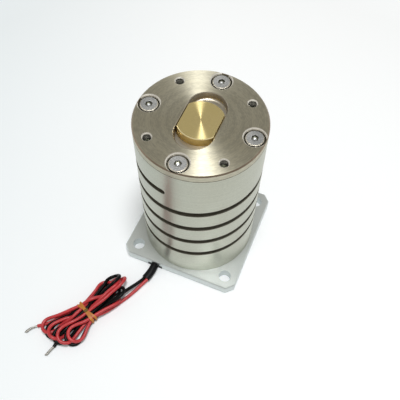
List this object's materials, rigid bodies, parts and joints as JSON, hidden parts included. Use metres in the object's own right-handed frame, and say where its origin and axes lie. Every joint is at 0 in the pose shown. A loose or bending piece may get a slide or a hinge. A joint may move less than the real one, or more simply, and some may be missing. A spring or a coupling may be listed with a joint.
{
  "type": "voice coil motor",
  "caption": "Short-stroke voice coil motor: round body cut by a helical slot so it works as a spring, round load plate on a brass guide post, square base plate and red and black leads.",
  "frame": {"origin": "centre of the base plate's underside, which is the mounting plane", "axes": "+Z along the motor's axis from the base plate to the load face; +Y and +X across the plate's sides, with the leads leaving the -Y side"},
  "size_m": [0.0609, 0.0872, 0.0635],
  "materials": {
    "plate_aluminium": "satin, clear anodised",
    "body_steel": "satin, fine turned",
    "top_steel": "face turned",
    "post_brass": "face turned",
    "screw_steel": "plain zinc grey",
    "bush_steel": "bright",
    "yoke_steel": "nickel plated",
    "magnet_nickel": "bright nickel",
    "former_aluminium": "satin",
    "coil_copper": "enamelled wire",
    "stop_rubber": "matt",
    "sleeve_black": "heat-shrink satin",
    "lead_red": "satin insulation",
    "lead_black": "satin insulation",
    "tie_orange": "satin",
    "tinned_wire": "tinned strands"
  },
  "bodies": {
    "base": {"base_plate": "plate_aluminium", "body_screws": "screw_steel", "guide_post": "post_brass", "post_screw": "screw_steel", "stop_ring": "stop_rubber", "coil_former": "former_aluminium", "former_screws": "screw_steel", "coil_upper": "coil_copper", "coil_lower": "coil_copper", "coil_tails": "coil_copper", "spring_body": "body_steel", "lead_grommet": "sleeve_black", "lead_sleeve": "sleeve_black", "red_lead": "lead_red", "black_lead": "lead_black", "lead_hank": "lead_red", "hank_tie": "tie_orange", "red_lead_tip": "tinned_wire", "black_lead_tip": "tinned_wire"},
    "carriage": {"top_plate": "top_steel", "cap_screws": "screw_steel", "guide_bush_upper": "bush_steel", "guide_bush_lower": "bush_steel", "field_yoke": "yoke_steel", "yoke_screws": "screw_steel", "magnet_ring_upper": "magnet_nickel", "magnet_ring_lower": "magnet_nickel", "magnet_spacer_upper": "former_aluminium", "magnet_spacer_middle": "former_aluminium", "magnet_retainer": "former_aluminium", "inner_pole": "yoke_steel"}
  },
  "joints": [
    {"name": "carriage_slide", "type": "slide", "parent": "base", "child": "carriage", "axis": [0, 0, 1], "range_m": [-0.002, 0.002], "stiffness_N_per_m": 12000, "deforming": ["spring_body"]}
  ]
}
